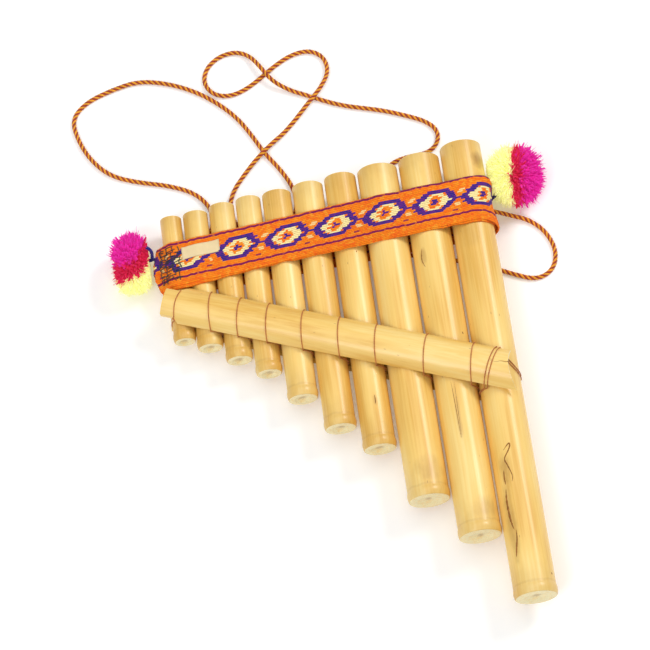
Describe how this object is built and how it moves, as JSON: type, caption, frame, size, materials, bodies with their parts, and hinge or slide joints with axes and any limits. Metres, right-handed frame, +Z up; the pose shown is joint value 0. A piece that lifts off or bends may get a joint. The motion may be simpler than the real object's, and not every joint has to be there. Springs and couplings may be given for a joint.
{
  "type": "pan flute",
  "caption": "Cane pan flute of stepped closed pipes between lashed split-cane braces, with a woven band, pompoms and a neck cord, lying on its back.",
  "frame": {"origin": "on the surface the flute lies on, under the middle of its bounding box without the neck cord", "axes": "+Y along the pipes towards their open mouths, +X across the row from the shortest pipe to the longest, +Z up from the back brace to the front brace"},
  "size_m": [0.238, 0.3236, 0.0375],
  "materials": {
    "cane": "satin, unlacquered straw-coloured cane with fine lengthwise grain",
    "lashing_thread": "waxed brown-orange twisted thread",
    "woven_band": "hand-woven orange band with cream and purple-blue stepped diamonds",
    "label_cloth": "plain cream woven label, blank",
    "dark_thread": "dark sewing thread",
    "twisted_cord": "two-ply twist, amber yellow and dark red",
    "magenta_yarn": "cut acrylic yarn, magenta with a crimson heart",
    "yellow_yarn": "cut acrylic yarn, pale lemon yellow",
    "tie_yarn": "navy yarn"
  },
  "bodies": {
    "flute": {"pipe_01": "cane", "pipe_02": "cane", "pipe_03": "cane", "pipe_04": "cane", "pipe_05": "cane", "pipe_06": "cane", "pipe_07": "cane", "pipe_08": "cane", "pipe_09": "cane", "pipe_10": "cane", "front_brace": "cane", "back_brace": "cane", "lashing_left_end": "lashing_thread", "lashing_right_end": "lashing_thread", "lashing_02_03": "lashing_thread", "lashing_03_04": "lashing_thread", "lashing_04_05": "lashing_thread", "lashing_05_06": "lashing_thread", "lashing_06_07": "lashing_thread", "lashing_07_08": "lashing_thread", "lashing_08_09": "lashing_thread", "lashing_09_10": "lashing_thread", "woven_band": "woven_band", "band_label": "label_cloth", "band_stitching": "dark_thread", "left_pompom_knot": "tie_yarn", "right_pompom_knot": "tie_yarn", "strap_cord": "twisted_cord"},
    "left_pompom": {"left_pompom_magenta": "magenta_yarn", "left_pompom_yellow": "yellow_yarn", "left_pompom_tie": "tie_yarn"},
    "right_pompom": {"right_pompom_magenta": "magenta_yarn", "right_pompom_yellow": "yellow_yarn", "right_pompom_tie": "tie_yarn"}
  },
  "joints": [
    {"name": "left_pompom_swing", "type": "hinge", "parent": "flute", "child": "left_pompom", "pos_m": [-0.0885, 0.086, 0.0116], "axis": [0, 0, 1], "range_deg": [-24, 4]},
    {"name": "right_pompom_swing", "type": "hinge", "parent": "flute", "child": "right_pompom", "pos_m": [0.0849, 0.092, 0.0128], "axis": [0, 0, 1], "range_deg": [-10, 2]}
  ]
}
